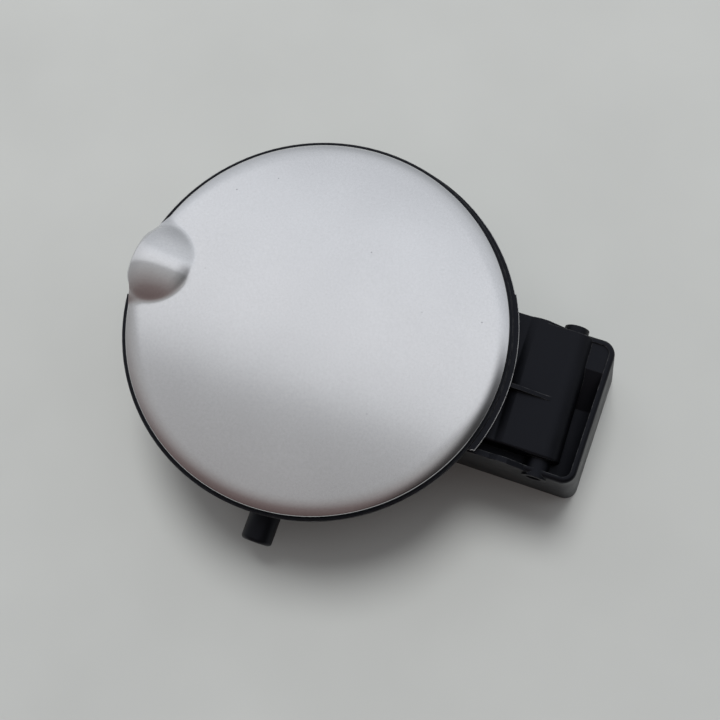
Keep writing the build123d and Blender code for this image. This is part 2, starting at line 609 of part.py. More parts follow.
# Hood over the hinge: plate stepped down towards the bowl, rolled down at the end, skirt on the near edge
with BuildPart() as hood:
    with BuildSketch(Plane.XZ.offset(-HOOD_NEAR_EDGE)):
        with BuildLine():
            Polyline(
                (BOX_START, HOOD_UNDER - HOOD_STEP),
                (BOX_START, HOOD_TOP - HOOD_STEP),
                (HOOD_STEP_X - HOOD_STEP_WIDTH / 2, HOOD_TOP - HOOD_STEP),
                (HOOD_STEP_X + HOOD_STEP_WIDTH / 2, HOOD_TOP),
                (HINGE_X, HOOD_TOP),
            )
            ThreePointArc(
                (HINGE_X, HOOD_TOP),
                (HINGE_X + HOOD_RADIUS * cos(radians(30)), HINGE_Z + HOOD_RADIUS * sin(radians(30))),
                (HINGE_X + HOOD_RADIUS * cos(HOOD_DROP), HINGE_Z + HOOD_RADIUS * sin(HOOD_DROP)),
            )
            Line(
                (HINGE_X + HOOD_RADIUS * cos(HOOD_DROP), HINGE_Z + HOOD_RADIUS * sin(HOOD_DROP)),
                (HINGE_X + HOOD_INNER * cos(HOOD_DROP), HINGE_Z + HOOD_INNER * sin(HOOD_DROP)),
            )
            ThreePointArc(
                (HINGE_X + HOOD_INNER * cos(HOOD_DROP), HINGE_Z + HOOD_INNER * sin(HOOD_DROP)),
                (HINGE_X + HOOD_INNER * cos(radians(30)), HINGE_Z + HOOD_INNER * sin(radians(30))),
                (HINGE_X, HOOD_UNDER),
            )
            Polyline(
                (HINGE_X, HOOD_UNDER),
                (HOOD_STEP_X + HOOD_STEP_WIDTH / 2, HOOD_UNDER),
                (HOOD_STEP_X - HOOD_STEP_WIDTH / 2, HOOD_UNDER - HOOD_STEP),
                (BOX_START, HOOD_UNDER - HOOD_STEP),
            )
        plate = make_face()
        step = plate.vertices().filter_by(lambda spot: abs(spot.X - HOOD_STEP_X) < HOOD_STEP_WIDTH)
        fillet(step, HOOD_STEP_FILLET)
    extrude(amount=HOOD_NEAR_EDGE - BOX_FAR_TOP)
    with BuildSketch(Plane.XZ.offset(-HOOD_NEAR_EDGE)):
        with BuildLine():
            Polyline(
                (HINGE_X + HOOD_RADIUS * cos(HOOD_DROP), HINGE_Z + HOOD_RADIUS * sin(HOOD_DROP)),
                (HINGE_X + HOOD_RADIUS * cos(HOOD_DROP), LEDGE_UNDER),
                (BOX_START, LEDGE_UNDER),
                (BOX_START, HOOD_TOP - HOOD_STEP),
                (HOOD_STEP_X - HOOD_STEP_WIDTH / 2, HOOD_TOP - HOOD_STEP),
                (HOOD_STEP_X + HOOD_STEP_WIDTH / 2, HOOD_TOP),
                (HINGE_X, HOOD_TOP),
            )
            ThreePointArc(
                (HINGE_X, HOOD_TOP),
                (HINGE_X + HOOD_RADIUS * cos(radians(30)), HINGE_Z + HOOD_RADIUS * sin(radians(30))),
                (HINGE_X + HOOD_RADIUS * cos(HOOD_DROP), HINGE_Z + HOOD_RADIUS * sin(HOOD_DROP)),
            )
        skirt = make_face()
        step = skirt.vertices().filter_by(
            lambda spot: abs(spot.X - HOOD_STEP_X) < HOOD_STEP_WIDTH and spot.Y > HINGE_Z
        )
        fillet(step, HOOD_STEP_FILLET)
    extrude(amount=-HOOD)
    near_top = hood.edges().filter_by(
        lambda edge: abs(edge.center().Y - HOOD_NEAR_EDGE) < 0.01 and edge.center().Z > LEDGE_TOP
    )
    fillet(near_top.filter_by(lambda edge: edge.center().X > BOX_START + 1), HOOD_EDGE)
    add(closure.part)
    with BuildPart(mode=Mode.PRIVATE) as envelope:
        loft([box_plan(0, WALL / 2), box_plan(HOOD_TOP + WALL, WALL / 2)])
    add(envelope.part, mode=Mode.INTERSECT)
    Cone(
        BOWL_FOOT_RADIUS - WALL / 2,
        BOWL_TOP_RADIUS - WALL / 2,
        RIM_FOOT,
        align=(Align.CENTER, Align.CENTER, Align.MIN),
        mode=Mode.SUBTRACT,
    )
    with Locations((ARM_WAY_END, 0, HOOD_UNDER)):
        Box(RIM_R, 2 * SLOT_HALF, HINGE_Z, align=(Align.MAX, Align.CENTER, Align.CENTER), mode=Mode.SUBTRACT)

# Snap hook on the bowl wall under each notch of the rim
SNAP_LOW = RIM_FOOT - SNAP_FOOT
SNAP_HIGH = RIM_FOOT - SNAP_TOP
with BuildPart() as hook:
    with BuildSketch(Plane.XZ):
        with BuildLine():
            Polyline(
                (bowl_radius(SNAP_LOW) - SNAP_DEPTH, SNAP_LOW),
                (bowl_radius(SNAP_LOW), SNAP_LOW),
                (RIM_R - BEAD_WIDTH / 2, SNAP_HIGH),
                (bowl_radius(SNAP_HIGH) - SNAP_DEPTH, SNAP_HIGH),
                close=True,
            )
        make_face()
    extrude(amount=SNAP_WIDTH / 2 - 1, both=True)

# Housing: one moulding of rim, bowl, hinge box, hood and nipple
with BuildPart() as housing:
    with BuildSketch(Plane.XZ):
        with BuildLine():
            Polyline(
                (0, 0),
                (BOWL_FOOT_RADIUS, 0),
                (BOWL_TOP_RADIUS, RIM_FOOT),
                (RIM_R, RIM_FOOT),
                (RIM_R, BEAD_TOP - BEAD_EDGE),
                (RIM_R - BEAD_EDGE, BEAD_TOP),
                (BEAD_R, BEAD_TOP),
                (BEAD_R, RIM_TOP),
                (0, RIM_TOP),
                close=True,
            )
        make_face()
    revolve(axis=Axis.Z)
    add(box.part)
    for angle in SNAP_ANGLES:
        add(Rot(0, 0, angle) * hook.part)
    with Locations(Location((NIPPLE_X, -NIPPLE_END, NIPPLE_Z), (-90, 0, 0))):
        Cylinder(
            NIPPLE_DIAMETER / 2,
            NIPPLE_END - BOWL_FOOT_RADIUS,
            align=(Align.CENTER, Align.CENTER, Align.MIN),
        )
    fillet(housing.edges().filter_by(GeomType.CIRCLE).sort_by(Axis.Y)[0], NIPPLE_EDGE)
    with Locations(Location((NIPPLE_X, -HOSE_STOP, NIPPLE_Z), (-90, 0, 0))):
        Cylinder(
            HOSE_STOP_DIAMETER / 2,
            HOSE_STOP - BOWL_FOOT_RADIUS,
            align=(Align.CENTER, Align.CENTER, Align.MIN),
        )
    # Rim widened in a crescent towards the hinge, with a lip over the hinge box, a step below the bead
    with BuildSketch(Plane.XY.offset(LIP_TOP)):
        with Locations(polar(CRESCENT_SHIFT, CRESCENT_MIDDLE)):
            Circle(CRESCENT_R)
        Circle(RIM_R - BEAD_WIDTH / 2, mode=Mode.SUBTRACT)
        with Locations((0, -BOX_HALF_WIDTH)):
            Rectangle(4 * RIM_R, 4 * RIM_R, align=(Align.CENTER, Align.MAX), mode=Mode.SUBTRACT)
    extrude(amount=-LIP_THICKNESS)
    with BuildSketch(Plane.XZ):
        with Locations((RIM_R - BEAD_WIDTH / 2, LIP_TOP)):
            Rectangle(LIP_EDGE + BEAD_WIDTH / 2, LIP_THICKNESS, align=(Align.MIN, Align.MAX))
    lip = revolve(axis=Axis.Z, revolution_arc=LIP_ARC[1] - LIP_ARC[0], mode=Mode.PRIVATE)
    add(Rot(0, 0, LIP_ARC[0]) * lip)
    # Inside of the bowl
    shelf_z = RIM_TOP - RIM_SHELF
    with BuildSketch(Plane.XZ):
        with BuildLine():
            Polyline(
                (0, FLOOR_TOP),
                (bowl_radius(FLOOR_TOP) - WALL, FLOOR_TOP),
                (bowl_radius(shelf_z) - WALL, shelf_z),
                (MOUTH_R, shelf_z),
                (MOUTH_R, BEAD_TOP + 1),
                (0, BEAD_TOP + 1),
                close=True,
            )
        inside = make_face()
        fillet(inside.vertices().group_by(Axis.Y)[0].sort_by(Axis.X)[-1], BOWL_FILLET)
    revolve(axis=Axis.Z, mode=Mode.SUBTRACT)
    with Locations((0, 0, 0)):
        Cylinder(NECK_HOLE_RADIUS, 4 * FLOOR_TOP, mode=Mode.SUBTRACT)
    # Underside of the floor with its ribs
    with BuildSketch():
        Circle(BOWL_FOOT_RADIUS - WALL)
        with PolarLocations((BOWL_FOOT_RADIUS + NECK_HOLE_RADIUS + 6) / 2, FLOOR_RIBS):
            Rectangle(BOWL_FOOT_RADIUS - NECK_HOLE_RADIUS - 6, 1.8, mode=Mode.SUBTRACT)
    extrude(amount=FLOOR_LIFT, mode=Mode.SUBTRACT)
    # Way of the arm through the bowl wall and past the rim shelf
    with Locations((RIM_R + 1.5, 0, FLOOR_TOP)):
        Box(
            RIM_R - BOWL_FOOT_RADIUS + 4 * WALL,
            2 * SLOT_HALF,
            RIM_FOOT - FLOOR_TOP,
            align=(Align.MAX, Align.CENTER, Align.MIN),
            mode=Mode.SUBTRACT,
        )
    with BuildSketch(Plane.XY.offset(RIM_FOOT - 0.5)):
        Circle(BOWL_TOP_RADIUS)
        with Locations((BOWL_TOP_RADIUS, 0)):
            Rectangle(2 * BOWL_TAPER, 2 * SLOT_HALF, mode=Mode.INTERSECT)
    extrude(amount=RIM_HEIGHT + 2, mode=Mode.SUBTRACT)
    # Hood, ledge and web, and the rib on the hood plate
    add(hood.part)
    with BuildSketch(Plane.XZ):
        with BuildLine():
            Polyline(
                (RIM_R - 1, HOOD_UNDER - HOOD_STEP),
                (RIM_R - 1, HOOD_TOP + RIB_RISE),
                (HOOD_STEP_X + 2, HOOD_TOP + RIB_RISE),
                (HINGE_X - RIB_STOP, HOOD_TOP - 0.2),
                (HINGE_X - RIB_STOP, HOOD_UNDER),
                (HOOD_STEP_X + HOOD_STEP_WIDTH, HOOD_UNDER),
                (HOOD_STEP_X - HOOD_STEP_WIDTH / 2, HOOD_UNDER - HOOD_STEP),
                close=True,
            )
        make_face()
    extrude(amount=RIB_THICKNESS / 2, both=True)
    # Pivot bosses: a closed stub on the far wall, a ring with the pin hole on the near wall
    with Locations(Location((HINGE_X, BOSS_INNER, HINGE_Z), (-90, 0, 0))):
        Cylinder(
            BOSS_DIAMETER / 2,
            BOX_HALF_WIDTH + BOSS_REACH - BOSS_INNER,
            align=(Align.CENTER, Align.CENTER, Align.MIN),
        )
    with Locations(Location((HINGE_X, -BOSS_INNER, HINGE_Z), (90, 0, 0))):
        Cylinder(
            BOSS_DIAMETER / 2,
            BOX_HALF_WIDTH + 1 - BOSS_INNER,
            align=(Align.CENTER, Align.CENTER, Align.MIN),
        )
    with Locations(Location((HINGE_X, -2 * BOX_HALF_WIDTH, HINGE_Z), (-90, 0, 0))):
        Cylinder(
            PIN_R + SEAT_GAP,
            2 * BOX_HALF_WIDTH + PIN_START + PIN_LENGTH + SEAT_GAP,
            align=(Align.CENTER, Align.CENTER, Align.MIN),
            mode=Mode.SUBTRACT,
        )
        Cylinder(
            PIN_R + WALL / 2,
            2 * BOX_HALF_WIDTH + PIN_START,
            align=(Align.CENTER, Align.CENTER, Align.MIN),
            mode=Mode.SUBTRACT,
        )
    # Gap in the bead for the finger
    with Locations((-RIM_R, 0, RIM_TOP)):
        Box(
            12,
            MOUTH_WIDTH + 2,
            BEAD_HEIGHT + 1,
            align=(Align.CENTER, Align.CENTER, Align.MIN),
            mode=Mode.SUBTRACT,
        )
    # Drain bore, notches under the rim over the snap hooks, buffer holes
    with Locations(Location((NIPPLE_X, -NIPPLE_END - 1, NIPPLE_Z), (-90, 0, 0))):
        Cylinder(
            NIPPLE_BORE / 2,
            NIPPLE_END - BOWL_FOOT_RADIUS + 4 * WALL,
            align=(Align.CENTER, Align.CENTER, Align.MIN),
            mode=Mode.SUBTRACT,
        )
    with PolarLocations(RIM_R, len(SNAP_ANGLES), SNAP_ANGLES[0]):
        with Locations((0, 0, RIM_TOP - RIM_LEDGE)):
            Box(
                3.4,
                SNAP_WIDTH,
                RIM_HEIGHT,
                align=(Align.CENTER, Align.CENTER, Align.MAX),
                mode=Mode.SUBTRACT,
            )
    with Locations(*[(*polar(BUFFER_R, angle), RIM_TOP) for angle in BUFFER_ANGLES]):
        Cylinder(BUFFER_PEG / 2 + SEAT_GAP, 2 * (BUFFER_PEG_DEPTH + SEAT_GAP), mode=Mode.SUBTRACT)
housing.part.label = "housing"

os.makedirs("parts", exist_ok=True)
pieces = [
    housing,
    neck_seal,
    hinge_pin,
    hinge_spring,
    hinge_arm,
    arm_screws,
    flap_carrier,
    flap_skin,
    *buffers,
]
for piece in pieces:
    export_step(piece.part, f"parts/{piece.part.label}.step")
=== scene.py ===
import math

import bpy
from mathutils import Matrix, Vector


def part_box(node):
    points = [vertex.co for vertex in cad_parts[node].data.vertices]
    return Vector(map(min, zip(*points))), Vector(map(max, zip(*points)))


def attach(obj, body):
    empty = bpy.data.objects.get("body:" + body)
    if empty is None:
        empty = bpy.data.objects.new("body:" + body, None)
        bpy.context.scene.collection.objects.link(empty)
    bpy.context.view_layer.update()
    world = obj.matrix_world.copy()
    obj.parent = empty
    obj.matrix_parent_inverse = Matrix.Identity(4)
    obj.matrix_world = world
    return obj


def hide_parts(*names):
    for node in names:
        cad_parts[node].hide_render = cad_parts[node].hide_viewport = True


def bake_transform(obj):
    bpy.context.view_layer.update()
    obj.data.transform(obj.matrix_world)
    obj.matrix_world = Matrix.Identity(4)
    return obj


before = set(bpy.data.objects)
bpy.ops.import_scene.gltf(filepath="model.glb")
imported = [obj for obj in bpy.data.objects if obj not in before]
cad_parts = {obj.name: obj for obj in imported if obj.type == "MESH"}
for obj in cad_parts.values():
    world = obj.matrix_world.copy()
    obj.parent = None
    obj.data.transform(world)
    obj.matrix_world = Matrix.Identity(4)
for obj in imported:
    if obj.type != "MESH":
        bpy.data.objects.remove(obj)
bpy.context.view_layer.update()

bl_info = {
    "name": "Car Fuel Door",
    "version": (1, 0, 0),
    "blender": (4, 5, 0),
    "location": "View3D > Sidebar > Fuel Door",
    "description": "Dresses the fuel door: painted flap, mouldings, spring, fixings and stage",
    "category": "Object",
}

MM = 0.001
# Sockets of the Mix node, by number because its float and colour sockets share their names
MIX_SHARE, FLOAT_A, FLOAT_B, COLOUR_A, COLOUR_B = 0, 2, 3, 6, 7
FLOAT_OUT, COLOUR_OUT = 0, 2
PALE_EDGE = "C4C6C8"
COOL_SHEEN = "E6EBFF"
SKIN_LOW, SKIN_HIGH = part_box("flap_skin")
# Rings of the flap: their sides, and their spacing over the roll, past the bulge and in the middle
FLAP_SIDES = 288
ROLL_STEP = 0.4 * MM
BULGE_STEP, BULGE_END = 1.3 * MM, 48 * MM
MIDDLE_STEP, MIDDLE_END = 3.5 * MM, 5 * MM
POLE = 0.4 * MM
CORNER_STEPS = 6
HEM_BEND, HEM_BEND_MID = 0.6 * MM, 0.17 * MM
# The former of the bulge, and the ring round its foot that runs out under the skin
FORMER_SIDES = 96
FOOT_STEPS, CAP_STEPS = 12, 24
FOOT_OUT, FOOT_DOWN = 4 * MM, 2.2 * MM
# Steps of the lip over the mouth, as (out, down) in millimetres, and how it ends at the wall
LIP_STEPS = ((0.42, 0.32), (0.34, 0.5), (0.2, 0.65), (0.06, 0.75))
LIP_FADE, LIP_SLIT = 5 * MM, 0.07 * MM


class FuelDoorSizes(bpy.types.PropertyGroup):
    """Sizes of the painted flap that the solids do not give by their box."""

    flap_radius: bpy.props.FloatProperty(
        name="Flap radius",
        description="Outer radius of the round flap",
        default=SKIN_HIGH.y,
        subtype="DISTANCE",
    )
    sheet: bpy.props.FloatProperty(
        name="Sheet",
        description="Thickness of the pressed skin",
        default=1.0 * MM,
        subtype="DISTANCE",
    )
    lip_height: bpy.props.FloatProperty(
        name="Lip height",
        description="Height of the turned-down lip at the flap's edge",
        default=5.0 * MM,
        subtype="DISTANCE",
    )
    edge_radius: bpy.props.FloatProperty(
        name="Edge radius",
        description="Radius of the corner between the top and the lip",
        default=0.7 * MM,
        subtype="DISTANCE",
    )
    roll_width: bpy.props.FloatProperty(
        name="Roll width",
        description="Width of the band where the top falls away to the corner",
        default=8.0 * MM,
        subtype="DISTANCE",
    )
    roll_drop: bpy.props.FloatProperty(
        name="Roll drop",
        description="How far the corner lies under the run of the crown",
        default=1.7 * MM,
        subtype="DISTANCE",
    )
    sit: bpy.props.FloatVectorProperty(
        name="Sit",
        description="How far the real flap sits off the middle of the rim",
        default=(0.6 * MM, -0.6 * MM, -0.15 * MM),
        subtype="TRANSLATION",
    )
    crown: bpy.props.FloatProperty(
        name="Crown",
        description="Rise of the flap's middle over its edge",
        default=2.6 * MM,
        subtype="DISTANCE",
    )
    hem_width: bpy.props.FloatProperty(
        name="Hem width",
        description="Width of the hem turned in under the carrier",
        default=3.5 * MM,
        subtype="DISTANCE",
    )
    bulge_x: bpy.props.FloatProperty(
        name="Bulge place",
        description="Middle of the finger bulge along X",
        default=-72.5 * MM,
        subtype="DISTANCE",
    )
    bulge_y: bpy.props.FloatProperty(
        name="Bulge offset",
        description="How far the real bulge was pressed to one side of the flap's middle line",
        default=2.85 * MM,
        subtype="DISTANCE",
    )
    bulge_front: bpy.props.FloatProperty(
        name="Bulge front",
        description="How much shorter and steeper the bulge is on its outer side",
        default=0.76,
    )
    bulge_cap: bpy.props.FloatProperty(
        name="Bulge cap radius",
        description="Radius of the ball that crowns the finger bulge",
        default=28.6 * MM,
        subtype="DISTANCE",
    )
    bulge_blend: bpy.props.FloatProperty(
        name="Bulge foot radius",
        description="Radius of the hollow round the foot of the bulge",
        default=2.4 * MM,
        subtype="DISTANCE",
    )
    bulge_slope: bpy.props.FloatProperty(
        name="Bulge slope",
        description="Steepest slope of the bulge's flank",
        default=math.radians(36),
        subtype="ANGLE",
    )
    bulge_overhang: bpy.props.FloatProperty(
        name="Bulge overhang",
        description="How far the bulge stands out past the flap's edge",
        default=1.9 * MM,
        subtype="DISTANCE",
    )
    mouth_width: bpy.props.FloatProperty(
        name="Mouth width",
        description="Width of the finger opening under the bulge",
        default=30.4 * MM,
        subtype="DISTANCE",
    )


class FuelDoorColours(bpy.types.PropertyGroup):
    """Colours of the finishes, as sRGB hex values."""

    paint: bpy.props.StringProperty(
        name="Paint",
        description="Silver metallic base coat",
        default="DADBDE",
    )
    moulding: bpy.props.StringProperty(
        name="Moulding",
        description="Black polypropylene of the bowl and hinge box",
        default="08090C",
    )
    nylon: bpy.props.StringProperty(
        name="Nylon",
        description="Glass-filled nylon of arm and carrier",
        default="1B1C1E",
    )
    rubber: bpy.props.StringProperty(
        name="Rubber",
        description="Black rubber of seal and buffers",
        default="121212",
    )
    zinc: bpy.props.StringProperty(
        name="Zinc",
        description="Zinc plating of pin and screws",
        default="C9CACB",
    )
    spring: bpy.props.StringProperty(
        name="Spring",
        description="Oiled steel of the leg spring",
        default="77787C",
    )
    floor: bpy.props.StringProperty(
        name="Floor",
        description="Pale grey table top",
        default="C0C3C2",
    )


def linear(code):
    """Linear RGBA of an sRGB hex value."""
    parts = [int(code[i : i + 2], 16) / 255 for i in (0, 2, 4)]
    return [c / 12.92 if c <= 0.04045 else ((c + 0.055) / 1.055) ** 2.4 for c in parts] + [1.0]


def add_node(tree, kind, settings=None, values=None, links=None):
    """Adds a node with its settings, socket values and incoming links."""
    made = tree.nodes.new(kind)
    for key, value in (settings or {}).items():
        setattr(made, key, value)
    for key, value in (values or {}).items():
        made.inputs[key].default_value = value
    for key, socket in (links or {}).items():
        tree.links.new(socket, made.inputs[key])
    return made


def per_mm(size):
    """Texture scale for features of a real size in millimetres."""
    return 1.0 / (size * MM)


def new_material(name):
    """An empty node material with its output and object coordinates."""
    material = bpy.data.materials.new(name)
    material.use_nodes = True
    tree = material.node_tree
    tree.nodes.clear()
    place = add_node(tree, "ShaderNodeTexCoord").outputs["Object"]
    out = add_node(tree, "ShaderNodeOutputMaterial")
    return material, tree, place, out


def shaded(tree, colour, shade):
    """A plain colour made lighter and darker by a shade around 1."""
    mixed = add_node(
        tree,
        "ShaderNodeMix",
        settings={"data_type": "RGBA", "blend_type": "MULTIPLY"},
        values={MIX_SHARE: 1.0, COLOUR_A: linear(colour)},
        links={COLOUR_B: shade},
    )
    return mixed.outputs[COLOUR_OUT]


def silver_paint(colour):
    """Metallic base coat under clear lacquer: fine flake, faint orange peel, a few dust nibs."""
    material, tree, place, out = new_material("metallic_silver_lacquer")
    flake = add_node(
        tree,
        "ShaderNodeTexNoise",
        values={"Scale": per_mm(0.9), "Detail": 3.0, "Roughness": 0.7},
        links={"Vector": place},
    )
    cloud = add_node(
        tree,
        "ShaderNodeTexNoise",
        values={"Scale": per_mm(38), "Detail": 2.0},
        links={"Vector": place},
    )
    tone = add_node(
        tree,
        "ShaderNodeMapRange",
        values={"From Min": 0.25, "From Max": 0.75, "To Min": 0.95, "To Max": 1.045},
        links={"Value": flake.outputs["Fac"]},
    )
    wash = add_node(
        tree,
        "ShaderNodeMapRange",
        values={"From Min": 0.3, "From Max": 0.7, "To Min": 0.97, "To Max": 1.02},
        links={"Value": cloud.outputs["Fac"]},
    )
    both = add_node(
        tree,
        "ShaderNodeMath",
        settings={"operation": "MULTIPLY"},
        links={0: tone.outputs["Result"], 1: wash.outputs["Result"]},
    )
    nibs = add_node(
        tree,
        "ShaderNodeTexVoronoi",
        values={"Scale": per_mm(14), "Randomness": 1.0},
        links={"Vector": place},
    )
    nib = add_node(
        tree,
        "ShaderNodeMapRange",
        settings={"interpolation_type": "SMOOTHSTEP"},
        values={"From Min": 0.012, "From Max": 0.03, "To Min": 0.55, "To Max": 1.0},
        links={"Value": nibs.outputs["Distance"]},
    )
    shade = add_node(
        tree,
        "ShaderNodeMath",
        settings={"operation": "MULTIPLY"},
        links={0: both.outputs[0], 1: nib.outputs["Result"]},
    )
    base = shaded(tree, colour, shade.outputs[0])
    peel = add_node(
        tree,
        "ShaderNodeTexNoise",
        values={"Scale": per_mm(2.2), "Detail": 1.0},
        links={"Vector": place},
    )
    bump = add_node(
        tree,
        "ShaderNodeBump",
        values={"Strength": 0.035, "Distance": 0.05 * MM},
        links={"Height": peel.outputs["Fac"]},
    )
    skin = add_node(
        tree,
        "ShaderNodeBsdfPrincipled",
        values={
            "Metallic": 1.0,
            "Roughness": 0.16,
            "Coat Weight": 0.4,
            "Coat Roughness": 0.08,
        },
        links={"Base Color": base, "Normal": bump.outputs["Normal"]},
    )
    tree.links.new(skin.outputs["BSDF"], out.inputs["Surface"])
    return material


def edge_wear_and_lip_line(tree, place, chips, chip):
    """Strength of a moulding's paler edges: chipped wear, and a strong pale line along the rim's
    lip by the hinge.
    """
    axis = add_node(tree, "ShaderNodeSeparateXYZ", links={"Vector": place})
    flat = add_node(
        tree,
        "ShaderNodeCombineXYZ",
        links={"X": axis.outputs["X"], "Y": axis.outputs["Y"]},
    )
    reach = add_node(
        tree,
        "ShaderNodeVectorMath",
        settings={"operation": "LENGTH"},
        links={0: flat.outputs["Vector"]},
    )
    outside = add_node(
        tree,
        "ShaderNodeMapRange",
        values={"From Min": SKIN_HIGH.y + 3.1 * MM, "From Max": SKIN_HIGH.y + 3.5 * MM},
        links={"Value": reach.outputs["Value"]},
    )
    high = add_node(
        tree,
        "ShaderNodeMapRange",
        values={"From Min": SKIN_LOW.z - 1.7 * MM, "From Max": SKIN_LOW.z - 1.3 * MM},
        links={"Value": axis.outputs["Z"]},
    )
    lip = add_node(
        tree,
        "ShaderNodeMath",
        settings={"operation": "MULTIPLY"},
        links={0: outside.outputs["Result"], 1: high.outputs["Result"]},
    )
    # A pale line along the lip, much stronger than the chipped edges elsewhere
    lip_line = add_node(
        tree,
        "ShaderNodeMapRange",
        values={"From Min": 0.36, "From Max": 0.5, "To Min": 0.5, "To Max": 2.5},
        links={"Value": chips.outputs["Fac"]},
    )
    both = add_node(
        tree,
        "ShaderNodeMix",
        links={
            MIX_SHARE: lip.outputs[0],
            FLOAT_A: chip.outputs["Result"],
            FLOAT_B: lip_line.outputs["Result"],
        },
    )
    return both.outputs[FLOAT_OUT]


def find_edges(tree, radius):
    """A normal rounded over the edges, and a mask of the edges, where it leaves the true one."""
    soft = add_node(tree, "ShaderNodeBevel", settings={"samples": 6}, values={"Radius": radius})
    true = add_node(tree, "ShaderNodeNewGeometry")
    turn = add_node(
        tree,
        "ShaderNodeVectorMath",
        settings={"operation": "DOT_PRODUCT"},
        links={0: soft.outputs["Normal"], 1: true.outputs["Normal"]},
    )
    edge = add_node(
        tree,
        "ShaderNodeMapRange",
        values={"From Min": 0.985, "From Max": 0.88},
        links={"Value": turn.outputs["Value"]},
    )
    return soft.outputs["Normal"], edge.outputs["Result"]


def moulded_plastic(name, colour, grain, roughness, specular, rim_lip_line=False):
    """Moulded plastic: eroded grain of the tool, uneven gloss, paler edges, painted shade in
    grooves.
    """
    material, tree, place, out = new_material(name)
    fine = add_node(
        tree,
        "ShaderNodeTexNoise",
        values={"Scale": per_mm(grain), "Detail": 3.0, "Roughness": 0.6},
        links={"Vector": place},
    )
    broad = add_node(
        tree,
        "ShaderNodeTexNoise",
        values={"Scale": per_mm(17), "Detail": 4.0, "Roughness": 0.6},
        links={"Vector": place},
    )
    tint = add_node(
        tree,
        "ShaderNodeMapRange",
        values={"From Min": 0.35, "From Max": 0.75, "To Min": 0.7, "To Max": 1.7},
        links={"Value": broad.outputs["Fac"]},
    )
    base = shaded(tree, colour, tint.outputs["Result"])
    soft, edge = find_edges(tree, 0.5 * MM)
    # The rubbed edges are broken up by chips of 2.5 mm
    chips = add_node(
        tree,
        "ShaderNodeTexNoise",
        values={"Scale": per_mm(2.5), "Detail": 3.0, "Roughness": 0.7},
        links={"Vector": place},
    )
    chip = add_node(
        tree,
        "ShaderNodeMapRange",
        values={"From Min": 0.4, "From Max": 0.62, "To Min": 0.02, "To Max": 0.13},
        links={"Value": chips.outputs["Fac"]},
    )
    strength = chip.outputs["Result"]
    if rim_lip_line:
        strength = edge_wear_and_lip_line(tree, place, chips, chip)
    paling = add_node(
        tree,
        "ShaderNodeMath",
        settings={"operation": "MULTIPLY", "use_clamp": True},
        links={0: edge, 1: strength},
    )
    paled = add_node(
        tree,
        "ShaderNodeMix",
        settings={"data_type": "RGBA"},
        values={COLOUR_B: linear(PALE_EDGE)},
        links={MIX_SHARE: paling.outputs[0], COLOUR_A: base},
    )
    # Painted shade in the grooves: the deeper a spot lies, the darker its colour and the weaker its
    # reflection
    groove_occlusion = add_node(
        tree,
        "ShaderNodeAmbientOcclusion",
        settings={"samples": 8},
        values={"Distance": 14 * MM},
    )
    painted_shade = add_node(
        tree,
        "ShaderNodeMapRange",
        values={"From Min": 0.2, "From Max": 0.9, "To Min": 0.7, "To Max": 1.0},
        links={"Value": groove_occlusion.outputs["AO"]},
    )
    base_with_painted_shade = add_node(
        tree,
        "ShaderNodeMix",
        settings={"data_type": "RGBA", "blend_type": "MULTIPLY"},
        values={MIX_SHARE: 1.0},
        links={COLOUR_A: paled.outputs[COLOUR_OUT], COLOUR_B: painted_shade.outputs["Result"]},
    )
    # The painted shade also weakens the reflection in the grooves
    sheen_with_painted_shade = add_node(
        tree,
        "ShaderNodeMath",
        settings={"operation": "MULTIPLY"},
        values={1: specular},
        links={0: painted_shade.outputs["Result"]},
    )
    gloss = add_node(
        tree,
        "ShaderNodeMapRange",
        values={
            "From Min": 0.3,
            "From Max": 0.7,
            "To Min": roughness - 0.07,
            "To Max": roughness + 0.07,
        },
        links={"Value": broad.outputs["Fac"]},
    )
    bump = add_node(
        tree,
        "ShaderNodeBump",
        values={"Strength": 0.25, "Distance": 0.06 * MM},
        links={"Height": fine.outputs["Fac"], "Normal": soft},
    )
    body = add_node(
        tree,
        "ShaderNodeBsdfPrincipled",
        values={"Specular Tint": linear(COOL_SHEEN), "IOR": 1.49},
        links={
            "Base Color": base_with_painted_shade.outputs[COLOUR_OUT],
            "Specular IOR Level": sheen_with_painted_shade.outputs[0],
            "Roughness": gloss.outputs["Result"],
            "Normal": bump.outputs["Normal"],
        },
    )
    tree.links.new(body.outputs["BSDF"], out.inputs["Surface"])
    return material


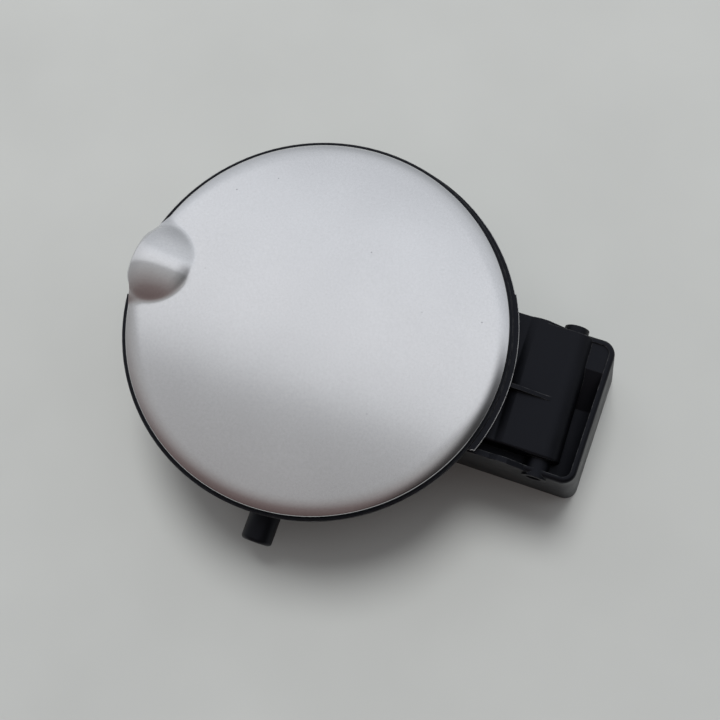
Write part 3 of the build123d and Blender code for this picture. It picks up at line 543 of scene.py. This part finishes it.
def plated_steel(name, colour, roughness, grain):
    """Plated or oiled drawn steel: dull patches, a fine tooth, edges polished by handling."""
    material, tree, place, out = new_material(name)
    patch = add_node(
        tree,
        "ShaderNodeTexNoise",
        values={"Scale": per_mm(grain), "Detail": 4.0, "Roughness": 0.65},
        links={"Vector": place},
    )
    tint = add_node(
        tree,
        "ShaderNodeMapRange",
        values={"From Min": 0.3, "From Max": 0.7, "To Min": 0.75, "To Max": 1.05},
        links={"Value": patch.outputs["Fac"]},
    )
    base = shaded(tree, colour, tint.outputs["Result"])
    gloss = add_node(
        tree,
        "ShaderNodeMapRange",
        values={
            "From Min": 0.3,
            "From Max": 0.7,
            "To Min": roughness + 0.1,
            "To Max": roughness - 0.06,
        },
        links={"Value": patch.outputs["Fac"]},
    )
    soft, edge = find_edges(tree, 0.2 * MM)
    polished = add_node(
        tree,
        "ShaderNodeMix",
        settings={"data_type": "FLOAT"},
        values={FLOAT_B: roughness * 0.6},
        links={MIX_SHARE: edge, FLOAT_A: gloss.outputs["Result"]},
    )
    tooth = add_node(
        tree,
        "ShaderNodeTexNoise",
        values={"Scale": per_mm(grain / 10), "Detail": 2.0},
        links={"Vector": place},
    )
    bump = add_node(
        tree,
        "ShaderNodeBump",
        values={"Strength": 0.2, "Distance": 0.02 * MM},
        links={"Height": tooth.outputs["Fac"], "Normal": soft},
    )
    body = add_node(
        tree,
        "ShaderNodeBsdfPrincipled",
        values={"Metallic": 1.0},
        links={
            "Base Color": base,
            "Roughness": polished.outputs[FLOAT_OUT],
            "Normal": bump.outputs["Normal"],
        },
    )
    tree.links.new(body.outputs["BSDF"], out.inputs["Surface"])
    return material


def laminate(colour):
    """Pale table laminate with a faint cloudy tone."""
    material, tree, place, out = new_material("pale_laminate")
    cloud = add_node(
        tree,
        "ShaderNodeTexNoise",
        values={"Scale": per_mm(90), "Detail": 3.0},
        links={"Vector": place},
    )
    tint = add_node(
        tree,
        "ShaderNodeMapRange",
        values={"From Min": 0.3, "From Max": 0.7, "To Min": 0.97, "To Max": 1.03},
        links={"Value": cloud.outputs["Fac"]},
    )
    base = shaded(tree, colour, tint.outputs["Result"])
    body = add_node(
        tree,
        "ShaderNodeBsdfPrincipled",
        values={"Roughness": 0.7, "Specular IOR Level": 0.15},
        links={"Base Color": base},
    )
    tree.links.new(body.outputs["BSDF"], out.inputs["Surface"])
    return material


def finishes(scene):
    """The materials of the door by record slot, made once."""
    colours = scene.fuel_door_colours
    if "metallic_silver_lacquer" not in bpy.data.materials:
        silver_paint(colours.paint)
        moulded_plastic("moulded_polypropylene", colours.moulding, 0.7, 0.44, 0.26, rim_lip_line=True)
        moulded_plastic("glass_filled_nylon", colours.nylon, 0.9, 0.55, 0.3)
        moulded_plastic("epdm_rubber", colours.rubber, 0.5, 0.75, 0.25)
        plated_steel("zinc_plated_steel", colours.zinc, 0.3, 3.0)
        plated_steel("oiled_spring_steel", colours.spring, 0.38, 2.0)
    named = bpy.data.materials
    return {
        "silver_paint": named["metallic_silver_lacquer"],
        "black_moulding": named["moulded_polypropylene"],
        "arm_moulding": named["glass_filled_nylon"],
        "rubber": named["epdm_rubber"],
        "zinc_steel": named["zinc_plated_steel"],
        "spring_steel": named["oiled_spring_steel"],
    }


def deselect():
    """Leaves object mode with nothing selected."""
    if bpy.context.mode != "OBJECT":
        bpy.ops.object.mode_set(mode="OBJECT")
    bpy.ops.object.select_all(action="DESELECT")


def pick(piece):
    """Makes a piece the only selected and active one."""
    deselect()
    piece.select_set(True)
    bpy.context.view_layer.objects.active = piece


def select_faces(piece, test):
    """Selects the faces whose middle passes the test; the piece stays in edit mode."""
    bpy.ops.object.mode_set(mode="EDIT")
    bpy.ops.mesh.select_all(action="DESELECT")
    bpy.ops.mesh.select_mode(type="FACE")
    bpy.ops.object.mode_set(mode="OBJECT")
    for face in piece.data.polygons:
        face.select = test(face.center)
    bpy.ops.object.mode_set(mode="EDIT")


def select_points(piece, test):
    """Selects the vertices that pass the test; the piece stays in edit mode."""
    bpy.ops.object.mode_set(mode="EDIT")
    bpy.ops.mesh.select_mode(type="VERT")
    bpy.ops.mesh.select_all(action="DESELECT")
    bpy.ops.object.mode_set(mode="OBJECT")
    for point in piece.data.vertices:
        point.select = test(point.co)
    bpy.ops.object.mode_set(mode="EDIT")


def ring_form(name, sides, rings):
    """A turned sheet: a circle extruded through rings of (radius, height), closed at the last."""
    deselect()
    radius, height = rings[0]
    bpy.ops.mesh.primitive_circle_add(vertices=sides, radius=radius, location=(0, 0, 0))
    piece = bpy.context.object
    piece.name = name
    piece.data.name = name
    bpy.ops.object.mode_set(mode="EDIT")
    bpy.ops.mesh.select_mode(type="VERT")
    bpy.ops.mesh.select_all(action="SELECT")
    bpy.ops.transform.translate(value=(0, 0, height))
    for next_radius, next_height in rings[1:]:
        bpy.ops.mesh.extrude_region_move(
            TRANSFORM_OT_translate={"value": (0, 0, next_height - height)}
        )
        share = next_radius / radius
        bpy.ops.transform.resize(value=(share, share, 1), center_override=(0, 0, 0))
        radius, height = next_radius, next_height
    bpy.ops.mesh.merge(type="CENTER")
    bpy.ops.mesh.select_all(action="SELECT")
    bpy.ops.mesh.normals_make_consistent(inside=False)
    bpy.ops.object.mode_set(mode="OBJECT")
    return piece


def finish_piece(piece, body, material):
    """Gives a piece its finish and lets it ride on its body."""
    piece.data.materials.clear()
    piece.data.materials.append(material)
    if body:
        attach(piece, body)


class FUELDOOR_OT_stage(bpy.types.Operator):
    """Sets the table, the soft light and the camera."""

    bl_idname = "fuel_door.stage"
    bl_label = "Stage"

    def execute(self, context):
        scene = context.scene
        scene.view_settings.view_transform = "Standard"
        deselect()
        bpy.ops.mesh.primitive_plane_add(size=6.0, location=(0, 0, 0))
        floor = context.object
        floor.name = "table"
        floor.data.materials.append(laminate(scene.fuel_door_colours.floor))
        self.light(scene)
        self.camera(scene)
        return {"FINISHED"}

    def light(self, scene):
        """A broad window behind the table, a dim room in front, a person at the right, a lamp."""
        world = bpy.data.worlds.new("room")
        scene.world = world
        world.use_nodes = True
        tree = world.node_tree
        tree.nodes.clear()
        way = add_node(tree, "ShaderNodeTexCoord").outputs["Generated"]
        axis = add_node(tree, "ShaderNodeSeparateXYZ", links={"Vector": way})
        share = add_node(
            tree,
            "ShaderNodeMapRange",
            values={"From Min": -1.0, "From Max": 1.0},
            links={"Value": axis.outputs["Y"]},
        )
        ramp = add_node(tree, "ShaderNodeValToRGB", links={"Fac": share.outputs["Result"]})
        stops = ramp.color_ramp.elements
        tones = [
            (0.0, (0.118, 0.079, 0.074)),
            (0.2, (0.2, 0.158, 0.151)),
            (0.37, (0.36, 0.339, 0.331)),
            (0.475, (0.445, 0.44, 0.435)),
            (0.53, (0.47, 0.47, 0.47)),
            (0.556, (0.8, 0.805, 0.815)),
            (0.62, (0.9, 0.905, 0.92)),
            (0.71, (0.87, 0.885, 0.91)),
            (0.75, (0.73, 0.745, 0.77)),
            (0.88, (0.66, 0.675, 0.695)),
            (1.0, (0.5, 0.515, 0.53)),
        ]
        while len(stops) < len(tones):
            stops.new(0.5)
        for stop, (place, tone) in zip(stops, tones):
            stop.position = place
            stop.color = (*tone, 1.0)
        right = add_node(
            tree,
            "ShaderNodeMapRange",
            settings={"interpolation_type": "SMOOTHSTEP"},
            values={"From Min": 0.28, "From Max": 0.8},
            links={"Value": axis.outputs["X"]},
        )
        near = add_node(
            tree,
            "ShaderNodeMapRange",
            settings={"interpolation_type": "SMOOTHSTEP"},
            values={"From Min": 0.5, "From Max": 0.2},
            links={"Value": axis.outputs["Y"]},
        )
        person = add_node(
            tree,
            "ShaderNodeMath",
            settings={"operation": "MULTIPLY"},
            links={0: right.outputs["Result"], 1: near.outputs["Result"]},
        )
        full = add_node(
            tree,
            "ShaderNodeMapRange",
            values={"To Min": 1.0, "To Max": 0.14},
            links={"Value": person.outputs[0]},
        )
        dim = add_node(
            tree,
            "ShaderNodeMapRange",
            values={"To Min": 0.85, "To Max": 0.14},
            links={"Value": person.outputs[0]},
        )
        height = add_node(
            tree,
            "ShaderNodeMapRange",
            settings={"interpolation_type": "SMOOTHSTEP"},
            values={"From Min": 0.1, "From Max": 0.8},
            links={
                "Value": axis.outputs["Z"],
                "To Min": dim.outputs["Result"],
                "To Max": full.outputs["Result"],
            },
        )
        room = add_node(
            tree,
            "ShaderNodeMix",
            settings={"data_type": "RGBA", "blend_type": "MULTIPLY"},
            values={MIX_SHARE: 1.0},
            links={COLOUR_A: ramp.outputs["Color"], COLOUR_B: height.outputs["Result"]},
        )
        back = add_node(
            tree,
            "ShaderNodeBackground",
            values={"Strength": 1.0},
            links={"Color": room.outputs[COLOUR_OUT]},
        )
        out = add_node(tree, "ShaderNodeOutputWorld")
        tree.links.new(back.outputs["Background"], out.inputs["Surface"])
        bpy.ops.object.light_add(type="AREA", location=(-0.44, 1.34, 2.8))
        lamp = bpy.context.object
        lamp.name = "soft_window"
        lamp.data.shape = "DISK"
        lamp.data.size = 1.3
        lamp.data.energy = 60.0
        lamp.data.color = (1.0, 0.99, 0.97)
        lamp.visible_glossy = False
        lamp.rotation_euler = (-lamp.location).to_track_quat("-Z", "Y").to_euler()

    def camera(self, scene):
        """The photograph's viewing angle."""
        bpy.ops.object.camera_add()
        camera = bpy.context.object
        camera.name = "camera"
        camera.data.sensor_width = 36.0
        camera.data.lens = 40.0
        camera.data.clip_start = 0.01
        right = Vector((0.94303, 0.3264, -0.06452))
        up = Vector((-0.30349, 0.92333, 0.23526))
        back = Vector((0.13636, -0.20228, 0.96979))
        turn = Matrix((right, up, back)).transposed()
        place = Vector((68.53, -76.72, 371.68)) * MM
        camera.matrix_world = Matrix.Translation(place) @ turn.to_4x4()
        scene.camera = camera


class FUELDOOR_OT_flap_skin(bpy.types.Operator):
    """Presses the painted skin: crown, rolled edge, hem and the finger bulge with its mouth."""

    bl_idname = "fuel_door.flap_skin"
    bl_label = "Painted flap"

    def execute(self, context):
        sizes = context.scene.fuel_door_sizes
        radius = sizes.flap_radius
        hem = SKIN_LOW.z
        edge = hem + sizes.lip_height
        crown = edge + sizes.crown
        dome = (radius**2 + sizes.crown**2) / (2 * sizes.crown)

        def dome_z(r):
            fall = max(0.0, (r - radius) / sizes.roll_width + 1)
            return crown - dome + math.sqrt(dome**2 - r**2) - sizes.roll_drop * fall**3

        roll = sizes.edge_radius
        tilt = math.atan(3 * sizes.roll_drop / sizes.roll_width + radius / dome)
        corner = radius - roll * (1 - math.sin(tilt))
        roll_z = dome_z(corner) - roll * math.cos(tilt)
        rings = [
            (radius - sizes.hem_width, hem),
            (radius - sizes.hem_width / 2, hem),
            (radius - HEM_BEND, hem),
            (radius - HEM_BEND_MID, hem + HEM_BEND_MID),
            (radius, hem + HEM_BEND),
            (radius, roll_z),
        ]
        for i in range(1, CORNER_STEPS + 1):
            turn = (math.pi / 2 - tilt) * i / CORNER_STEPS
            rings.append((radius - roll + roll * math.cos(turn), roll_z + roll * math.sin(turn)))
        reach = rings[-1][0]
        bands = (
            (radius - sizes.roll_width, ROLL_STEP),
            (BULGE_END, BULGE_STEP),
            (MIDDLE_END, MIDDLE_STEP),
        )
        for end, step in bands:
            while reach > end:
                reach -= step
                rings.append((reach, dome_z(reach)))
        rings.append((POLE, dome_z(POLE)))
        skin = ring_form("painted_flap", FLAP_SIDES, rings)

        half = sizes.mouth_width / 2
        aside = sizes.bulge_y
        mouth_top = roll_z + 0.1 * MM
        mouth_side = -0.9 * radius + 2 * MM
        select_faces(
            skin,
            lambda c: c.z < mouth_top and c.x < mouth_side and abs(c.y - aside) < half,
        )
        bpy.ops.mesh.delete(type="FACE")
        # The brow of the bulge is pulled out over the mouth, dying out 7 mm to either side
        brow_x, brow_half = -78.5 * MM, 9.5 * MM
        select_points(
            skin,
            lambda c: c.x < brow_x and abs(c.y - aside) < brow_half and c.z > roll_z,
        )
        bpy.ops.transform.translate(
            value=(-sizes.bulge_overhang, 0, 0),
            use_proportional_edit=True,
            proportional_edit_falloff="SMOOTH",
            proportional_size=7 * MM,
        )
        # The bulge's surroundings get a finer mesh before they are raised
        fine_reach = 24 * MM
        select_faces(
            skin,
            lambda c: math.hypot(c.x - sizes.bulge_x, c.y - aside) < fine_reach and c.z > roll_z,
        )
        bpy.ops.mesh.subdivide(number_cuts=1)
        bpy.ops.object.mode_set(mode="OBJECT")

        self.raise_bulge(skin, sizes, dome_z, roll_z)
        self.mouth_lip(skin, half, aside, roll_z)
        bpy.ops.object.mode_set(mode="EDIT")
        bpy.ops.mesh.select_all(action="SELECT")
        bpy.ops.transform.translate(value=sizes.sit)
        bpy.ops.object.mode_set(mode="OBJECT")
        pick(skin)
        bpy.ops.object.modifier_add(type="SOLIDIFY")
        wall = skin.modifiers[-1]
        wall.thickness = sizes.sheet
        wall.offset = -1.0
        bpy.ops.object.modifier_apply(modifier=wall.name)
        bpy.ops.object.shade_smooth_by_angle(angle=math.radians(42))
        finish_piece(skin, "flap", finishes(context.scene)["silver_paint"])
        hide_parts("flap_skin")
        return {"FINISHED"}

    def raise_bulge(self, skin, sizes, dome_z, roll_z):
        """Lifts the top of the skin on to a turned former of the bulge."""
        cap, blend, slope = sizes.bulge_cap, sizes.bulge_blend, sizes.bulge_slope
        shallow = math.radians(10)
        height = cap * (1 - math.cos(slope)) + blend * (math.cos(shallow) - math.cos(slope))
        top = dome_z(abs(sizes.bulge_x)) + height
        flank = (cap * math.sin(slope), top - cap * (1 - math.cos(slope)))
        middle = (flank[0] + blend * math.sin(slope), flank[1] + blend * math.cos(slope))
        rings = [(middle[0] + FOOT_OUT, middle[1] - blend - FOOT_DOWN)]
        for i in range(FOOT_STEPS):
            turn = slope * i / (FOOT_STEPS - 1)
            rings.append((middle[0] - blend * math.sin(turn), middle[1] - blend * math.cos(turn)))
        for i in range(1, CAP_STEPS):
            turn = slope * (1 - i / CAP_STEPS)
            rings.append((cap * math.sin(turn), top - cap * (1 - math.cos(turn))))
        former = ring_form("bulge_former", FORMER_SIDES, rings)
        select_points(former, lambda c: c.x < -0.1 * MM)
        bpy.ops.transform.resize(value=(sizes.bulge_front, 1, 1), center_override=(0, 0, 0))
        bpy.ops.mesh.select_all(action="SELECT")
        bpy.ops.transform.translate(value=(sizes.bulge_x, sizes.bulge_y, 0))
        bpy.ops.object.mode_set(mode="OBJECT")
        pick(skin)
        group = skin.vertex_groups.new(name="top")
        top_z = roll_z + 0.1 * MM
        group.add([v.index for v in skin.data.vertices if v.co.z > top_z], 1.0, "REPLACE")
        bpy.ops.object.modifier_add(type="SHRINKWRAP")
        wrap = skin.modifiers[-1]
        wrap.target = former
        wrap.wrap_method = "PROJECT"
        wrap.use_project_z = True
        wrap.use_positive_direction = True
        wrap.use_negative_direction = False
        wrap.vertex_group = group.name
        bpy.ops.object.modifier_apply(modifier=wrap.name)
        skin.vertex_groups.clear()
        # The seam of former and skin is smoothed in a band round the foot, clear of the flap's edge
        foot = middle[0]
        band = 5 * MM

        def at_foot(c):
            reach = math.hypot(c.x - sizes.bulge_x, c.y - sizes.bulge_y)
            inside = math.hypot(c.x, c.y) < sizes.flap_radius - 0.9 * MM
            return abs(reach - foot + 1 * MM) < band and inside and c.z > roll_z + 0.3 * MM

        select_points(skin, at_foot)
        bpy.ops.mesh.vertices_smooth(factor=0.5, repeat=3)
        bpy.ops.object.mode_set(mode="OBJECT")
        bpy.data.objects.remove(former)

    def mouth_lip(self, skin, half, aside, roll_z):
        """Turns the free edge of the bulge down over the mouth."""
        pick(skin)
        bpy.ops.object.mode_set(mode="EDIT")
        bpy.ops.mesh.select_mode(type="EDGE")
        bpy.ops.mesh.select_all(action="DESELECT")
        bpy.ops.mesh.select_non_manifold(
            extend=False,
            use_wire=False,
            use_boundary=True,
            use_multi_face=False,
            use_non_contiguous=False,
            use_verts=False,
        )
        bpy.ops.object.mode_set(mode="OBJECT")
        points = skin.data.vertices
        free = [line for line in skin.data.edges if line.select]
        level = roll_z + 0.05 * MM
        raised = {i for line in free for i in line.vertices if points[i].co.z > level}
        across = [points[i].co.y for i in raised if abs(points[i].co.y - aside) < half + 1 * MM]
        low, high = min(across), max(across)
        for point in points:
            point.select = False
        for line in free:
            ends = [points[i] for i in line.vertices]
            line.select = all(end.co.z > level and low <= end.co.y <= high for end in ends)
            for end in ends:
                end.select = end.select or line.select
        bpy.ops.object.mode_set(mode="EDIT")
        # The roll dies out at both ends, and a fine slit keeps it off the wall there
        for out, down in LIP_STEPS:
            bpy.ops.mesh.extrude_edges_move(TRANSFORM_OT_translate={"value": (0, 0, -down * MM)})
            bpy.ops.object.mode_set(mode="OBJECT")
            for point in skin.data.vertices:
                if point.select:
                    way = point.co.y - low if point.co.y < aside else high - point.co.y
                    share = min(way / LIP_FADE, 1.0)
                    point.co.x -= out * MM * share**2 * (3 - 2 * share)
                    if way < 0.3 * MM:
                        point.co.y += math.copysign(LIP_SLIT, aside - point.co.y)
            bpy.ops.object.mode_set(mode="EDIT")
        bpy.ops.mesh.select_all(action="SELECT")
        bpy.ops.mesh.normals_make_consistent(inside=False)
        bpy.ops.object.mode_set(mode="OBJECT")


class FUELDOOR_OT_spring(bpy.types.Operator):
    """Copies the leg spring as one merged, smoothed piece with its finish."""

    bl_idname = "fuel_door.spring"
    bl_label = "Closing spring"

    def execute(self, context):
        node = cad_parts["hinge_spring"]
        spring = bpy.data.objects.new("closing_spring", node.data.copy())
        context.scene.collection.objects.link(spring)
        pick(spring)
        bpy.ops.object.mode_set(mode="EDIT")
        bpy.ops.mesh.select_all(action="SELECT")
        bpy.ops.mesh.remove_doubles(threshold=0.005 * MM)
        bpy.ops.object.mode_set(mode="OBJECT")
        bpy.ops.object.shade_smooth_by_angle(angle=math.radians(50))
        finish_piece(spring, None, finishes(context.scene)["spring_steel"])
        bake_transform(spring)
        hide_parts("hinge_spring")
        return {"FINISHED"}


class FUELDOOR_OT_kept_solids(bpy.types.Operator):
    """Gives the solids that are shown as they are their finished materials."""

    bl_idname = "fuel_door.kept_solids"
    bl_label = "Kept solids"

    def execute(self, context):
        made = finishes(context.scene)
        plan = {
            "housing": "black_moulding",
            "neck_seal": "rubber",
            "hinge_pin": "zinc_steel",
            "hinge_arm": "arm_moulding",
            "arm_screws": "zinc_steel",
            "flap_carrier": "arm_moulding",
            **{f"flap_buffer_{i}": "rubber" for i in range(1, 5)},
        }
        for name, slot in plan.items():
            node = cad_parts[name]
            node.data.materials.clear()
            node.data.materials.append(made[slot])
        return {"FINISHED"}


class FUELDOOR_PT_panel(bpy.types.Panel):
    """Lists the steps that dress the fuel door."""

    bl_idname = "FUELDOOR_PT_panel"
    bl_label = "Fuel Door"
    bl_space_type = "VIEW_3D"
    bl_region_type = "UI"
    bl_category = "Fuel Door"

    def draw(self, context):
        for step in STEPS:
            self.layout.operator(step.bl_idname)


STEPS = (
    FUELDOOR_OT_stage,
    FUELDOOR_OT_flap_skin,
    FUELDOOR_OT_spring,
    FUELDOOR_OT_kept_solids,
)
CLASSES = (FuelDoorSizes, FuelDoorColours, *STEPS, FUELDOOR_PT_panel)


def register():
    for kind in CLASSES:
        bpy.utils.register_class(kind)
    bpy.types.Scene.fuel_door_sizes = bpy.props.PointerProperty(type=FuelDoorSizes)
    bpy.types.Scene.fuel_door_colours = bpy.props.PointerProperty(type=FuelDoorColours)


def unregister():
    del bpy.types.Scene.fuel_door_colours
    del bpy.types.Scene.fuel_door_sizes
    for kind in reversed(CLASSES):
        bpy.utils.unregister_class(kind)


def main():
    register()
    bpy.ops.fuel_door.stage()
    bpy.ops.fuel_door.flap_skin()
    bpy.ops.fuel_door.spring()
    bpy.ops.fuel_door.kept_solids()
    deselect()


if __name__ == "__main__":
    main()
